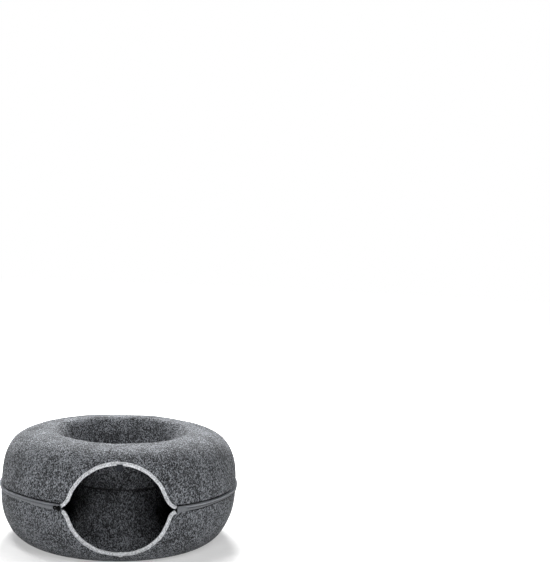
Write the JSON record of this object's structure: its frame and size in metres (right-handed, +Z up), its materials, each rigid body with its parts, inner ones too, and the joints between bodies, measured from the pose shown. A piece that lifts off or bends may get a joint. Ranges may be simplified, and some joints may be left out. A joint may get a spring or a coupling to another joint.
{
  "type": "donut pet bed",
  "caption": "Hollow ring-shaped felt tunnel bed for a cat, with a bound cat's-eye mouth in front, an open centre and a zip round the outside.",
  "frame": {"origin": "middle of the bed's footprint on the floor; the ring's own vertical axis stands 8.9 mm in front of it, at y = -0.0089", "axes": "+Z up, -Y towards the mouth in the front wall, +X to the right as seen from the front"},
  "size_m": [0.4984, 0.4815, 0.228],
  "materials": {
    "grey_felt": "marled grey pressed felt, matt and slightly fuzzy",
    "binding_felt": "pale grey felt strip, matt",
    "zip_tape": "grey woven polyester zip tape",
    "zip_plastic": "dark nylon coil",
    "zip_metal": "black lacquered metal",
    "seam_tape": "black woven tape",
    "tag_cloth": "blank dark blue-grey woven tag"
  },
  "bodies": {
    "root": {"upper_shell": "grey_felt", "lower_shell": "grey_felt", "mouth_binding_upper": "binding_felt", "mouth_binding_lower": "binding_felt", "zip_tape_upper": "zip_tape", "zip_tape_lower": "zip_tape", "zip_chain": "zip_plastic", "zip_end_patch": "zip_tape", "zip_slider": "zip_metal", "zip_pull": "zip_metal", "column_seam_tape": "seam_tape", "mouth_tag": "tag_cloth"}
  },
  "joints": []
}
